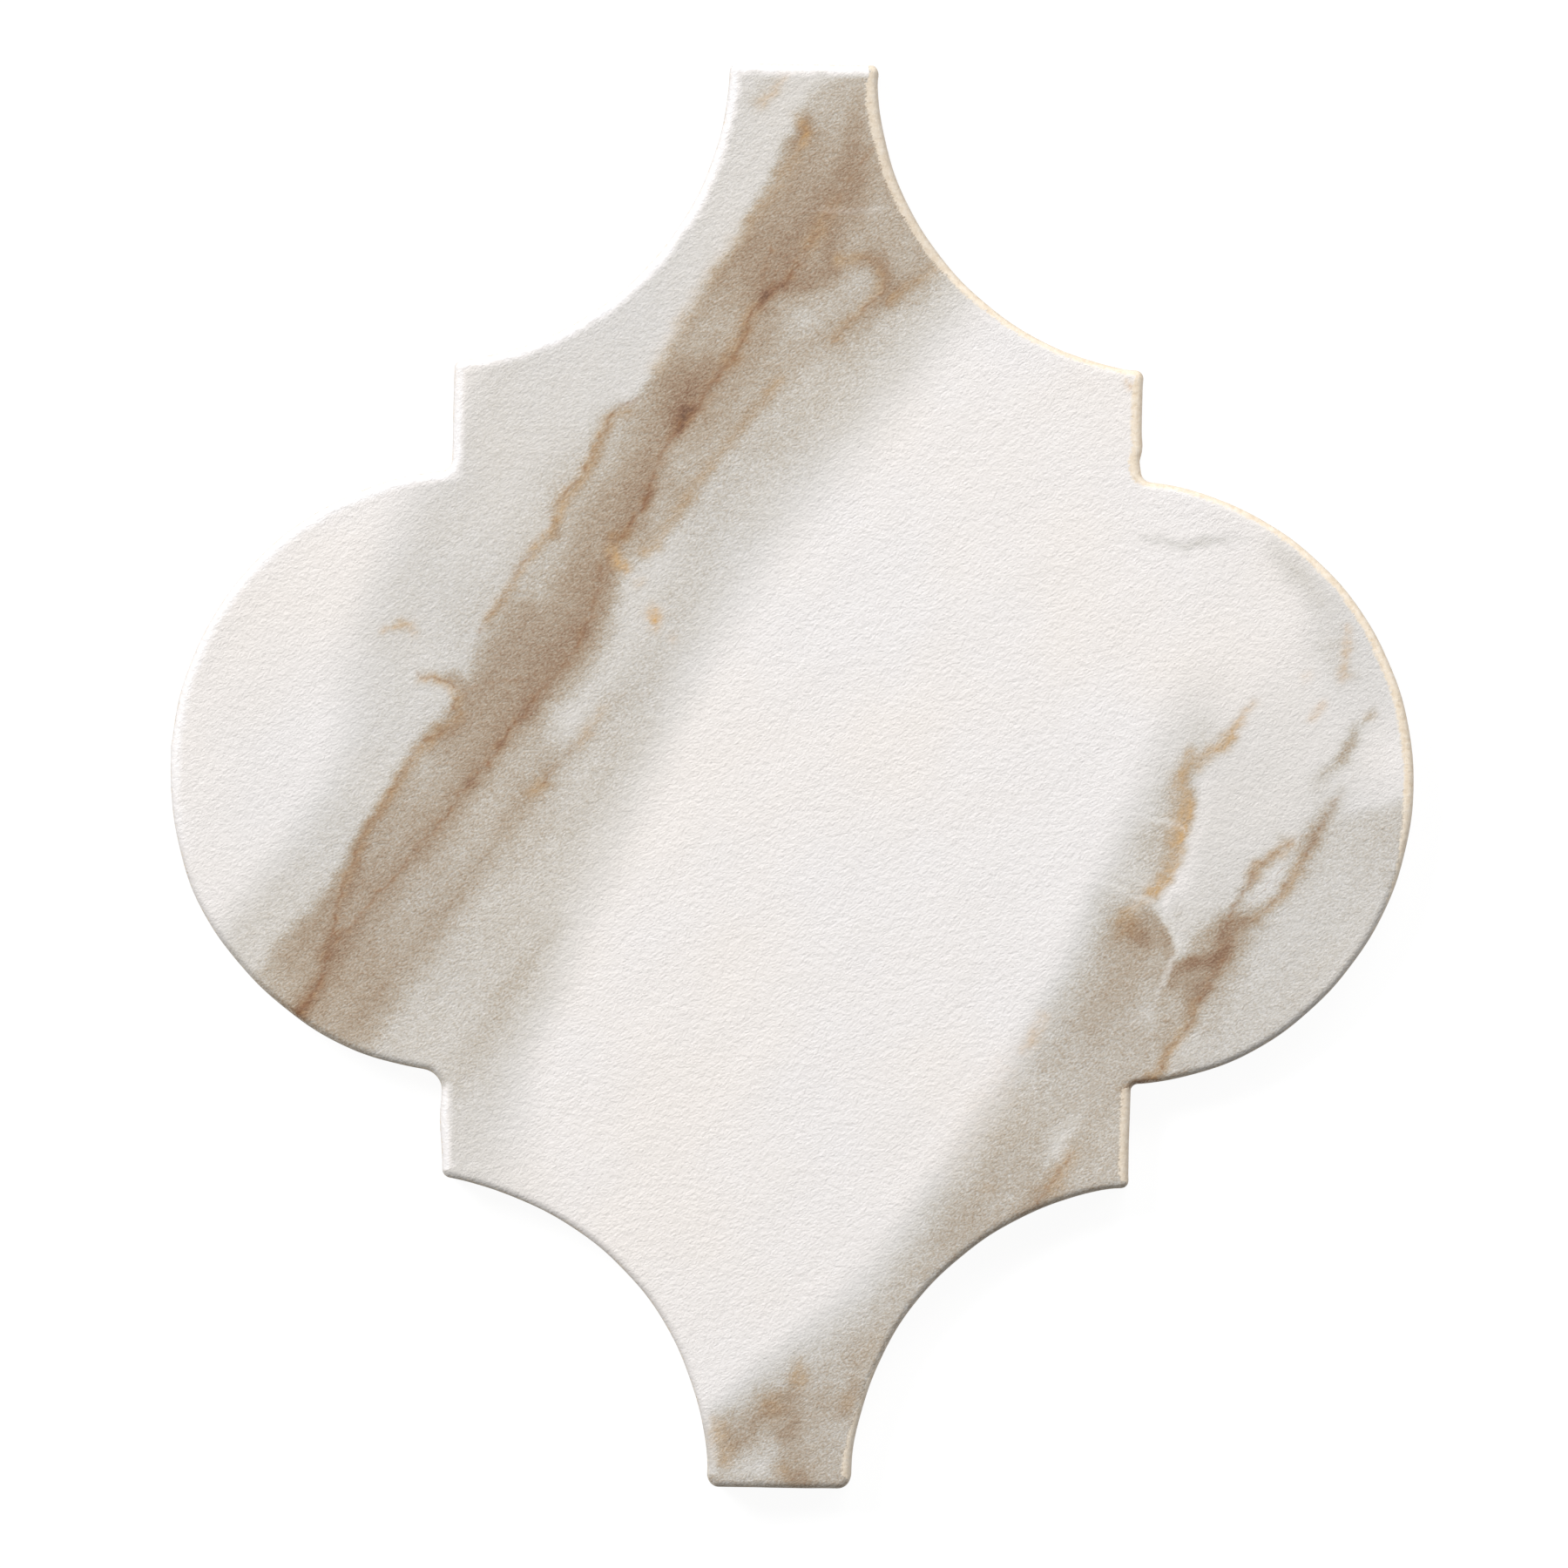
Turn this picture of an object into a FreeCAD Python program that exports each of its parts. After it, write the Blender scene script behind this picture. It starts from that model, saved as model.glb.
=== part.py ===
import FreeCAD
import Part
import math
import os

# Moroccan arabesque tile: one pressed porcelain piece that lies face up.
# Lengths are in millimetres. The origin is the middle of the back, +Y runs to the
# squarer neck, +X to the right lobe and +Z out of the glazed face.

# Outline
WIDTH = 200.0              # over the two lobes
LENGTH = 229.0             # from one neck end to the other
THICKNESS = 9.0            # from the ribs of the back to the glazed face
NECK_WIDTH = 23.6          # straight end of a neck
HOLLOW_RADIUS = 48.9       # the four round hollows beside the necks
LOBE_ALLOWANCE = 0.4       # a lobe is this much smaller in radius than the hollow it beds in
STEP_ALLOWANCE = 0.5       # a step stands back this much from the middle line of the pattern

# Corners of the outline, seen from above
TOP_NECK_CORNER = 1.4      # both corners of the +Y neck
FOOT_NECK_CORNER = 2.3     # both corners of the -Y neck
SHOULDER_CORNER = 1.4      # where a hollow runs out into a step
INNER_CORNERS = {          # where a step meets a lobe, by side and end; glaze fills one more
    (1, 1): 1.8,
    (-1, 1): 1.6,
    (1, -1): 1.2,
    (-1, -1): 3.5,
}

# Edges
ARRIS_RADIUS = 1.25        # soft edge round the glazed face
BACK_BEVEL = 0.6           # bevel round the back, left by the die

# Keyed back: shallow pockets between ribs, for the mortar to grip
KEY_DEPTH = 0.7
KEY_SLOPE = 0.35           # a pocket's floor is smaller than its mouth by this, all round
KEY_CORNER = 2.0           # round corners of each pocket
KEY_PITCH = 28.0           # from one rib to the next
RIB_WIDTH = 5.0
BORDER_WIDTH = 7.5         # plain border that follows the outline

# Worked out from the sizes above
LOBE_RADIUS = HOLLOW_RADIUS - LOBE_ALLOWANCE
HOLLOW_X = NECK_WIDTH / 2 + HOLLOW_RADIUS
HOLLOW_Y = LENGTH / 2
LOBE_X = WIDTH / 2 - LOBE_RADIUS
STEP_X = (WIDTH + NECK_WIDTH) / 4 - STEP_ALLOWANCE
SHOULDER_Y = HOLLOW_Y - math.sqrt(HOLLOW_RADIUS**2 - (HOLLOW_X - STEP_X) ** 2)
INNER_Y = math.sqrt(LOBE_RADIUS**2 - (STEP_X - LOBE_X) ** 2)

SIDES = (1, -1)
TOUCH = 1e-4               # points nearer than this are one point


def point(x, y, z=0.0):
    return FreeCAD.Vector(x, y, z)


def arc(centre, start, end):
    """Arc from start to end round centre, by way of the point halfway between them."""
    middle = (start + end) * 0.5 - centre
    middle.normalize()
    return Part.Arc(start, centre + middle * (start - centre).Length, end).toShape()


def line(start, end):
    return Part.LineSegment(start, end).toShape()


def outline():
    """Sharp outline: two neck ends and, each side, a hollow, a step, the lobe, a step and a hollow."""
    edges = []
    for y in (-HOLLOW_Y, HOLLOW_Y):
        edges.append(line(point(-NECK_WIDTH / 2, y), point(NECK_WIDTH / 2, y)))
    for side in SIDES:
        tip = point(side * WIDTH / 2, 0)
        for end in SIDES:
            neck = point(side * NECK_WIDTH / 2, end * HOLLOW_Y)
            shoulder = point(side * STEP_X, end * SHOULDER_Y)
            inner = point(side * STEP_X, end * INNER_Y)
            edges.append(arc(point(side * HOLLOW_X, end * HOLLOW_Y), neck, shoulder))
            edges.append(line(shoulder, inner))
            edges.append(arc(point(side * LOBE_X, 0), inner, tip))
    return Part.Wire(Part.sortEdges(edges)[0])


def upright_edge(solid, x, y):
    """The vertical edge of the solid that stands at x, y."""
    for edge in solid.Edges:
        box = edge.BoundBox
        low = math.hypot(box.XMin - x, box.YMin - y)
        high = math.hypot(box.XMax - x, box.YMax - y)
        if low < TOUCH and high < TOUCH:
            return edge
    raise ValueError(f"no upright edge at {x:.2f}, {y:.2f}")


def edges_at(solid, z):
    """The edges that lie wholly at one height."""
    found = []
    for edge in solid.Edges:
        box = edge.BoundBox
        if abs(box.ZMin - z) < TOUCH and abs(box.ZMax - z) < TOUCH:
            found.append(edge)
    return found


def round_corners(solid):
    """Rounds each upright corner of the outline by its own radius."""
    corners = []
    for side in SIDES:
        for end in SIDES:
            neck_corner = TOP_NECK_CORNER if end > 0 else FOOT_NECK_CORNER
            corners.append((side * NECK_WIDTH / 2, end * HOLLOW_Y, neck_corner))
            corners.append((side * STEP_X, end * SHOULDER_Y, SHOULDER_CORNER))
            corners.append((side * STEP_X, end * INNER_Y, INNER_CORNERS[side, end]))
    for x, y, radius in corners:
        solid = solid.makeFillet(radius, [upright_edge(solid, x, y)])
    return solid


def blank():
    """The tile with plain faces: the outline, its corners, the soft arris and the back bevel."""
    solid = Part.Face(outline()).extrude(point(0, 0, THICKNESS))
    solid = round_corners(solid)
    solid = solid.makeFillet(ARRIS_RADIUS, edges_at(solid, THICKNESS))
    return solid.makeChamfer(BACK_BEVEL, edges_at(solid, 0))


def key(square):
    """One pocket with sloping walls: the mouth is the square with round corners, the floor is smaller."""
    core = square.OuterWire.makeOffset2D(-KEY_CORNER)
    mouth = core.makeOffset2D(KEY_CORNER)
    floor = core.makeOffset2D(KEY_CORNER - KEY_SLOPE)
    floor.translate(point(0, 0, KEY_DEPTH))
    return Part.makeLoft([mouth, floor], True, True)


def keys(body):
    """Pockets of the back: the squares between the ribs, cut to the border.

    A square whose middle lies on the border, or nearer to it than the round of a corner, is left out.
    """
    back = [face for face in body.Faces if face.BoundBox.ZMax < TOUCH][0]
    field = Part.Face(back.OuterWire.makeOffset2D(BACK_BEVEL - BORDER_WIDTH))
    heart = Part.Face(field.OuterWire.makeOffset2D(-KEY_CORNER))
    side = KEY_PITCH - RIB_WIDTH
    columns = math.ceil(WIDTH / KEY_PITCH / 2)
    rows = math.ceil(LENGTH / KEY_PITCH / 2)
    pockets = []
    for column in range(-columns, columns + 1):
        for row in range(-rows, rows + 1):
            middle = point(column * KEY_PITCH, row * KEY_PITCH)
            if Part.Vertex(middle).distToShape(heart)[0] > TOUCH:
                continue
            square = Part.makePlane(side, side, middle - point(side / 2, side / 2))
            pockets.append(key(field.common(square).Faces[0]))
    return Part.makeCompound(pockets)


def tile():
    """The tile: one pressed and fired piece."""
    body = blank()
    return body.cut(keys(body)).Solids[0]


os.makedirs("parts", exist_ok=True)
piece = tile()
piece.exportStep("parts/tile.step")
box = piece.optimalBoundingBox()
print(f"tile: valid {piece.isValid()}, {piece.Volume / 1000:.1f} cm3, {len(piece.Faces)} faces")
print(f"box {box.XLength:.2f} x {box.YLength:.2f} x {box.ZLength:.2f} mm")
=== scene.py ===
import math

import bpy
import numpy as np
from mathutils import Matrix, Vector, geometry


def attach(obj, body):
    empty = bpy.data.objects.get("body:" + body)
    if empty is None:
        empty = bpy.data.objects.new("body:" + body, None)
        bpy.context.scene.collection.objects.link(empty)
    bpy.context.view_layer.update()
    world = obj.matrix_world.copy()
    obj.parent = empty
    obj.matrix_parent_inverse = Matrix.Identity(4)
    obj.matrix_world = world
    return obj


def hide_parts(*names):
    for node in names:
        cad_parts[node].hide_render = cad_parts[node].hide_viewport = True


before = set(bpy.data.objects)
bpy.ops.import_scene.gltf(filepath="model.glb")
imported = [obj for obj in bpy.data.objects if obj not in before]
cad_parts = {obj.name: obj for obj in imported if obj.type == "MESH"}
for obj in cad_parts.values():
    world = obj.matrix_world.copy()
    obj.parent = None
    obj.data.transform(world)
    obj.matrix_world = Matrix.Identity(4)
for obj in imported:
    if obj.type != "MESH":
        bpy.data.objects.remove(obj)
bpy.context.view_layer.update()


# The pressed blank
# One slab of porcelain, pressed in a die: two round lobes, stepped shoulders and straight necks that lie
# in the hollows of the next tiles. The die leaves a soft arris above and a small bevel below.
WIDTH = 0.200              # over the two lobes
LENGTH = 0.229             # from one neck end to the other
THICKNESS = 0.009
NECK_WIDTH = 0.0236
HOLLOW_RADIUS = 0.0489
LOBE_RADIUS = 0.0485
STEP_X = (WIDTH + NECK_WIDTH) / 4 - 0.0005
HOLLOW = np.array([NECK_WIDTH / 2 + HOLLOW_RADIUS, LENGTH / 2])
LOBE = np.array([WIDTH / 2 - LOBE_RADIUS, 0.0])
SHOULDER_CORNER = 0.0014
NECK_CORNERS = {1: 0.0014, -1: 0.0023}
INNER_CORNERS = {(1, 1): 0.0018, (-1, 1): 0.0016, (1, -1): 0.0012, (-1, -1): 0.0035}
ARRIS_RADIUS = 0.00125
BACK_BEVEL = 0.0006
RIM_STEP = 0.00075         # from one point of the outline to the next
CORNER_POINTS = 9          # fewest points on a round corner
ARRIS_POINTS = 9           # points of the profile over the arris
SIDE_POINTS = 4            # and from there down to the bevel

# The places on the face are read from the photograph's own square frame of points.
PHOTO_POINTS = 1800
PHOTO_SCALE = 0.00014006   # metres to a point
PHOTO_CENTRE = np.array([908.5, 891.0])
PHOTO_TURN = math.radians(0.95)


def from_photo(places):
    """Tile coordinates of places in the photograph: moved to the centre, scaled and turned back upright."""
    across, down = (np.asarray(places, float)[..., :2] - PHOTO_CENTRE).T * PHOTO_SCALE
    cosine, sine = math.cos(PHOTO_TURN), math.sin(PHOTO_TURN)
    return np.stack([across * cosine + down * sine, across * sine - down * cosine], -1)


def arc(centre, radius, start, end, out=1):
    """Centre plus radius times the direction of an angle that runs evenly from start to end, beside the
    outward direction, which is the same (out 1) or points to the centre (out -1)."""
    count = max(int(abs(radius * (end - start)) / RIM_STEP), CORNER_POINTS)
    angle = np.linspace(start, end, count)
    direction = np.stack([np.cos(angle), np.sin(angle)], -1)
    return np.hstack([centre + radius * direction, out * direction])


def straight(start, end, outward):
    """Points spread evenly from start to end, beside their common outward direction."""
    count = int(np.hypot(*(end - start)) / RIM_STEP)
    share = np.linspace(0, 1, count)[:, None]
    return np.hstack([start + share * (end - start), np.tile(outward, (count, 1))])


def quadrant(side, end):
    """A quarter of the outline, from the middle of a neck end to the tip of a lobe, mirrored to its side
    and end. A corner's centre lies one corner radius off both lines or circles that the corner joins."""
    neck, inner = NECK_CORNERS[end], INNER_CORNERS[side, end]
    a = np.array([HOLLOW[0] - math.sqrt((HOLLOW_RADIUS + neck) ** 2 - neck**2), HOLLOW[1] - neck])
    b = np.array([STEP_X - SHOULDER_CORNER, 0.0])
    b[1] = HOLLOW[1] - math.sqrt((HOLLOW_RADIUS + SHOULDER_CORNER) ** 2 - (HOLLOW[0] - b[0]) ** 2)
    c = np.array([STEP_X + inner, 0.0])
    c[1] = math.sqrt((LOBE_RADIUS + inner) ** 2 - (c[0] - LOBE[0]) ** 2)
    up, right = np.array([0.0, 1.0]), np.array([1.0, 0.0])
    to_hollow = [math.atan2(*(HOLLOW - centre)[::-1]) for centre in (a, b)]
    to_lobe = math.atan2(*(c - LOBE)[::-1])
    path = np.vstack([
        straight(np.array([0.0, HOLLOW[1]]), a + neck * up, up),
        arc(a, neck, math.pi / 2, to_hollow[0]),
        arc(HOLLOW, HOLLOW_RADIUS, to_hollow[0] + math.pi, to_hollow[1] + math.pi, -1),
        arc(b, SHOULDER_CORNER, to_hollow[1], 0),
        straight(b + SHOULDER_CORNER * right, c - inner * right, right),
        arc(c, inner, math.pi, to_lobe + math.pi, -1),
        arc(LOBE, LOBE_RADIUS, to_lobe, 0),
    ])
    path = path * [side, end, side, end]
    return path if side * end < 0 else path[::-1]


# Anticlockwise seen from above, and without the points that two pieces share
outline = np.vstack([quadrant(1, 1), quadrant(-1, 1), quadrant(-1, -1), quadrant(1, -1)])
step = np.roll(outline, -1, 0)[:, :2] - outline[:, :2]
outline = outline[np.hypot(*step.T) > 1e-7]

# The fired tile isn't quite true: the foot has drawn in and the lobes are fuller towards it. Each push has
# a place in the photograph, metres to +X and +Y, and metres of reach.
PUSHES = [
    (1289, 1368, -0.00024, 0.00070, 0.016), (1130, 1430, -0.00030, 0.00043, 0.016),
    (1030, 1545, -0.00050, 0.00032, 0.015), (984, 1670, -0.00050, 0.0, 0.008),
    (505, 1360, 0.00020, 0.00050, 0.006), (640, 1400, 0.00013, 0.00022, 0.018),
    (760, 1520, 0.00030, 0.00018, 0.016), (812, 1670, 0.00022, 0.0, 0.006),
    (230, 1040, -0.00032, -0.00017, 0.012), (400, 1200, -0.00011, -0.00026, 0.012),
    (1302, 1247, 0.0, -0.00030, 0.005), (1370, 1230, 0.00013, -0.00046, 0.012),
    (1470, 1186, 0.00015, -0.00022, 0.010),
]


def push(spots):
    """How far each spot is pushed: the sum of a bell curve round each place of PUSHES, times its push."""
    total = np.zeros(spots.shape)
    for x, y, to_x, to_y, reach in PUSHES:
        away = np.linalg.norm(spots - from_photo([x, y]), axis=-1)
        total += np.exp(-((away / reach) ** 2))[..., None] * [to_x, to_y]
    return total


outline[:, :2] += push(outline[:, :2])

# The die and the glaze also leave long faint ripples, and a few swellings and nicks (place in the
# photograph, metres outwards, metres of reach).
RIPPLE = 0.00002
RIPPLES = [(23, 0.4), (41, 2.1), (67, 4.4)]  # waves round the tile, and phase
UNEVEN = [
    (506, 1285, 0.00030, 0.0035), (1310, 512, 0.00016, 0.0012), (1308, 530, -0.00030, 0.0010),
    (1003, 80, 0.00028, 0.0012), (1306, 431, 0.00022, 0.0012), (197, 858, 0.00018, 0.0008),
    (818, 1700, 0.00016, 0.0020), (522, 540, 0.00020, 0.0014), (1291, 1360, 0.00016, 0.0010),
]
run = np.cumsum(np.hypot(*(np.roll(outline, -1, 0) - outline)[:, :2].T))
turns = 2 * math.pi * run / run[-1]
swell = sum(RIPPLE * np.sin(waves * turns + phase) for waves, phase in RIPPLES)
for x, y, height, reach in UNEVEN:
    away = np.hypot(*(outline[:, :2] - from_photo([x, y])).T)
    swell += height * np.exp(-((away / reach) ** 2))
outline[:, :2] += swell[:, None] * outline[:, 2:]
outline[:, :2] = np.clip(outline[:, :2], [-WIDTH / 2, -LENGTH / 2], [WIDTH / 2, LENGTH / 2])

# Rim: the profile from the face, over the arris and down the side to the bevel, carried along the outline
angle = np.linspace(0, math.pi / 2, ARRIS_POINTS)
arris = np.stack([ARRIS_RADIUS * (1 - np.sin(angle)), THICKNESS - ARRIS_RADIUS * (1 - np.cos(angle))], -1)
side_heights = np.linspace(THICKNESS - ARRIS_RADIUS, BACK_BEVEL, SIDE_POINTS + 1)[1:]
sides = np.stack([np.zeros(SIDE_POINTS), side_heights], -1)
profile = np.vstack([arris, sides, [BACK_BEVEL, 0.0]])
count, rows = len(outline), len(profile)
rim = np.empty((rows, count, 3))
rim[..., :2] = outline[:, :2] - profile[:, None, :1] * outline[:, 2:]
rim[..., 2] = profile[:, 1:]
ring = np.arange(rows * count).reshape(rows, count)
after = np.roll(ring, -1, 1)
rim_quads = np.stack([ring[:-1], ring[1:], after[1:], after[:-1]], -1).reshape(-1, 4)
vertices = [rim.reshape(-1, 3)]
faces = [rim_quads]
rim_loop = ring[0]
back_loop = ring[-1]


# The glazed face
# The flat of the tile inside the arris, pressed and glazed with the rest. It is an even net of small quads
# with a narrow seam of triangles to the arris. Firing leaves it waves of a few hundredths of a millimetre.
NET = 0.00060              # side of a quad
SEAM = 0.0006              # least width of the seam
SWAY = 0.000012            # height of the waves
SWAY_REACH = 0.004         # they fade out over this width inside the arris
SWAYS = [(310, 190, 0.6, 1.0), (-220, 410, 2.0, 1.0), (620, -480, 1.2, 0.5)]  # per metre, phase, part


def smooth(share):
    """Smooth step from 0 at 0 to 1 at 1."""
    share = np.clip(share, 0, 1)
    return share * share * (3 - 2 * share)


def depth(x, y):
    """How far a point lies in from the outline with sharp corners: the larger of its depth in the middle
    block, bounded by the steps, neck ends and hollows, and its depth in the circle of a lobe."""
    x, y = np.abs(x), np.abs(y)
    hollow = np.hypot(x - HOLLOW[0], y - HOLLOW[1]) - HOLLOW_RADIUS
    block = np.minimum(np.minimum(STEP_X - x, LENGTH / 2 - y), hollow)
    return np.maximum(block, LOBE_RADIUS - np.hypot(x - LOBE[0], y))


def crossings(places, starts, ends):
    """True where a line from the place towards +X crosses the given edges an odd number of times."""
    x, y = places[:, :1], places[:, 1:2]
    straddles = (starts[:, 1] > y) != (ends[:, 1] > y)
    rise = np.where(starts[:, 1] == ends[:, 1], 1, ends[:, 1] - starts[:, 1])
    meets = starts[:, 0] + (y - starts[:, 1]) * (ends[:, 0] - starts[:, 0]) / rise
    return (straddles & (x < meets)).sum(1) % 2 == 1


def once(polygons):
    """The edges that belong to one polygon only, as pairs of vertex numbers."""
    pairs = np.stack([polygons, np.roll(polygons, -1, 1)], -1).reshape(-1, 2)
    pairs, uses = np.unique(np.sort(pairs, 1), axis=0, return_counts=True)
    return pairs[uses == 1]


def join(places, numbers, edges):
    """Triangles between the given edges: the constrained Delaunay triangles of their ends, as vertex
    numbers, all anticlockwise seen from above."""
    order = np.argsort(numbers)
    rows = order[np.searchsorted(numbers, edges, sorter=order)]
    _, _, triangles, origins, _, _ = geometry.delaunay_2d_cdt(places.tolist(), rows.tolist(), [], 0, 1e-9)
    return numbers[np.array(origins)[:, 0]][np.array(triangles)]


columns = int(WIDTH / 2 / NET)
rows_up = int(LENGTH / 2 / NET)
net_x, net_y = np.meshgrid(np.arange(-columns, columns + 1) * NET, np.arange(-rows_up, rows_up + 1) * NET)
pushed = push(np.stack([net_x, net_y], -1))
deep = depth(net_x - pushed[..., 0], net_y - pushed[..., 1]) > ARRIS_RADIUS + SEAM
whole = deep[:-1, :-1] & deep[1:, :-1] & deep[:-1, 1:] & deep[1:, 1:]
number = np.arange(net_x.size).reshape(net_x.shape)
quads = np.stack([number[:-1, :-1], number[:-1, 1:], number[1:, 1:], number[1:, :-1]], -1)[whole]
used, quads = np.unique(quads, return_inverse=True)
start = len(vertices[0])
quads = quads.reshape(-1, 4) + start
net = np.stack([net_x.flat[used], net_y.flat[used]], -1)
ease = smooth((depth(*net.T) - ARRIS_RADIUS) / SWAY_REACH)
wave = sum(part * np.sin(net @ [across, up] + phase) for across, up, phase, part in SWAYS)
highest = sum(part for *_, part in SWAYS)
net_z = THICKNESS - SWAY * (highest - wave) * ease
vertices.append(np.column_stack([net, net_z]))
faces.append(quads)

net_edge = once(quads)
points = np.vstack(vertices)
loop_edge = np.stack([rim_loop, np.roll(rim_loop, -1)], -1)
numbers = np.concatenate([rim_loop, np.unique(net_edge)])
seam = join(points[numbers, :2], numbers, np.vstack([loop_edge, net_edge]))
middle = points[seam].mean(1)[:, :2]
cell = np.floor(middle / NET).astype(int) + [columns, rows_up]
in_net = whole[np.clip(cell[:, 1], 0, whole.shape[0] - 1), np.clip(cell[:, 0], 0, whole.shape[1] - 1)]
in_loop = crossings(middle, points[loop_edge[:, 0]], points[loop_edge[:, 1]])
faces.append(seam[in_loop & ~in_net])


# The keyed back
# Shallow square pockets between ribs, pressed into the back for the mortar to grip. They are those of the
# packed tile, and the plain land between them is joined anew to the bevel of this rim.
POCKET_REACH = 0.005       # every pocket lies further in from the outline than this
TOUCH = 1e-6               # heights nearer than this are one height
SHARP_ANGLE = math.radians(32)
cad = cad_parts["tile"].data
cad_points = np.empty(len(cad.vertices) * 3)
cad.vertices.foreach_get("co", cad_points)
cad.calc_loop_triangles()
cad_faces = np.empty(len(cad.loop_triangles) * 3, int)
cad.loop_triangles.foreach_get("vertices", cad_faces)
cad_points, merged = np.unique(np.round(cad_points.reshape(-1, 3), 7), axis=0, return_inverse=True)
cad_faces = merged.reshape(-1)[cad_faces].reshape(-1, 3)
corner = cad_points[cad_faces]
of_pocket = (corner[..., 2] < THICKNESS / 2).all(1) & (corner[..., 2] > TOUCH).any(1)
of_pocket &= (depth(corner[..., 0], corner[..., 1]) > POCKET_REACH).all(1)
used, pockets = np.unique(cad_faces[of_pocket], return_inverse=True)
start = len(points)
pockets = pockets.reshape(-1, 3) + start
vertices.append(cad_points[used])
faces.append(pockets)

points = np.vstack(vertices)
mouths = once(pockets)
loop_edge = np.stack([back_loop, np.roll(back_loop, -1)], -1)
edges = np.vstack([loop_edge, mouths])
numbers = np.unique(edges)
land = join(points[numbers, :2], numbers, edges)
middle = points[land].mean(1)[:, :2]
land = land[crossings(middle, points[edges[:, 0]], points[edges[:, 1]])]
faces.append(land[:, ::-1])


def stand(name, data):
    """A new object in the scene."""
    new = bpy.data.objects.new(name, data)
    bpy.context.scene.collection.objects.link(new)
    return new


mesh = bpy.data.meshes.new("arabesque_tile")
mesh.from_pydata(points.tolist(), [], [face for part in faces for face in part.tolist()])
mesh.validate()
tile = stand("arabesque_tile", mesh)
mesh.shade_smooth()
mesh.set_sharp_from_angle(angle=SHARP_ANGLE)


# The marble print
# A marble of pale ground, taupe bands and brown and golden veins, printed in the glaze with ink. The bands
# run down from the right to the left. Each mark was placed over the photograph, as part of a route.
glazed = np.flatnonzero(points[:, 2] > THICKNESS - ARRIS_RADIUS - TOUCH)
place = points[glazed, :2]

WAVES = [                   # shift, wave length and heading of each wave
    (0.00010, 0.0091, 0.3), (0.00010, 0.0083, 2.2), (0.00010, 0.0102, 4.4), (0.00012, 0.0047, 1.2),
    (0.00012, 0.0052, 3.3), (0.00012, 0.0043, 5.2), (0.00012, 0.0026, 0.8), (0.00012, 0.0029, 2.7),
    (0.00012, 0.0023, 4.9),
]


def strayed(spots):
    """The places moved a little by a sum of slow waves in scattered headings, each of which pushes across
    its own heading. Nothing that is drawn on them keeps a straight edge."""
    moved = spots.copy()
    for shift, length, heading in WAVES:
        along = spots @ [math.cos(heading), math.sin(heading)]
        moved += shift * np.sin(2 * math.pi * along / length + 9 * heading)[:, None] * [
            math.cos(heading + 1.2), math.sin(heading + 1.2)]
    return moved


drawn_at = strayed(place)


def softened(route):
    """The route with its corners cut: each run is kept between its first and its last quarter."""
    route = np.asarray(route, float)
    near = route[:-1] * 0.75 + route[1:] * 0.25
    far = route[:-1] * 0.25 + route[1:] * 0.75
    return np.vstack([route[:1], np.stack([near, far], 1).reshape(-1, route.shape[1]), route[-1:]])


def follow(route, reach=None):
    """Signed distance from each place of the glaze to the nearest point of the route, positive to the left
    of it, and the route's further columns there. Places further than reach are left out, as very far off.
    Without a reach every place counts, and the first and last runs of the route go on straight."""
    route = softened(route)
    path, extra = from_photo(route), route[:, 2:]
    here = np.arange(len(place))
    if reach:
        here = np.flatnonzero(((drawn_at > path.min(0) - reach) & (drawn_at < path.max(0) + reach)).all(1))
    spots = drawn_at[here]
    nearest = np.full(len(here), 1.0)
    sign = np.ones(len(here))
    found = np.zeros((extra.shape[1], len(here)))
    last = len(path) - 2
    for i, (a, b) in enumerate(zip(path[:-1], path[1:], strict=True)):
        run = b - a
        across, up = spots[:, 0] - a[0], spots[:, 1] - a[1]
        share = (across * run[0] + up * run[1]) / max(run @ run, 1e-12)
        foot = np.clip(share, 0 if reach or i > 0 else -np.inf, 1 if reach or i < last else np.inf)
        away = np.hypot(across - foot * run[0], up - foot * run[1])
        nearer = away < nearest
        nearest[nearer] = away[nearer]
        sign[nearer] = np.sign(run[0] * up - run[1] * across)[nearer]
        share = np.clip(share[nearer], 0, 1)
        found[:, nearer] = extra[i][:, None] * (1 - share) + extra[i + 1][:, None] * share
    distance = np.full(len(place), 1.0)
    distance[here] = nearest * np.where(sign == 0, 1, sign)
    columns = np.zeros((extra.shape[1], len(place)))
    columns[:, here] = found
    return distance, columns


def fade(value):
    """Smooth step from 0 at -1 to 1 at 1."""
    return smooth(value / 2 + 0.5)


def between(left, right):
    """A band of pigment between two routes that run down the face: a smooth step up at the left one times
    one down at the right one. Their columns are softness in points and tone, and on the right the share
    of the tone that is kept, which is all of it where none is given."""
    to_left, (soft_left, tone) = follow(left)
    to_right, (soft_right, share) = follow([(*mark, 1.0)[:4] for mark in right])
    into = fade(to_left / (soft_left * PHOTO_SCALE)) * fade(-to_right / (soft_right * PHOTO_SCALE))
    return into * tone * share


BELL_REACH = 2.6            # widths after which a bell curve is past seeing


def stain(route):
    """A soft line of pigment: its tone falls away as a bell curve. Columns: width in points, and tone. Of
    two widths, the first is towards the photograph's left on a route that runs down the face."""
    marks = [(x, y, widths[0], widths[-1], tone) for x, y, *widths, tone in route]
    widest = max(max(mark[2:4]) for mark in marks)
    away, (first, second, tone) = follow(marks, BELL_REACH * widest * PHOTO_SCALE)
    reach = np.maximum(np.where(away < 0, first, second), 1) * PHOTO_SCALE
    return tone * np.exp(-((away / reach) ** 2))


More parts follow.
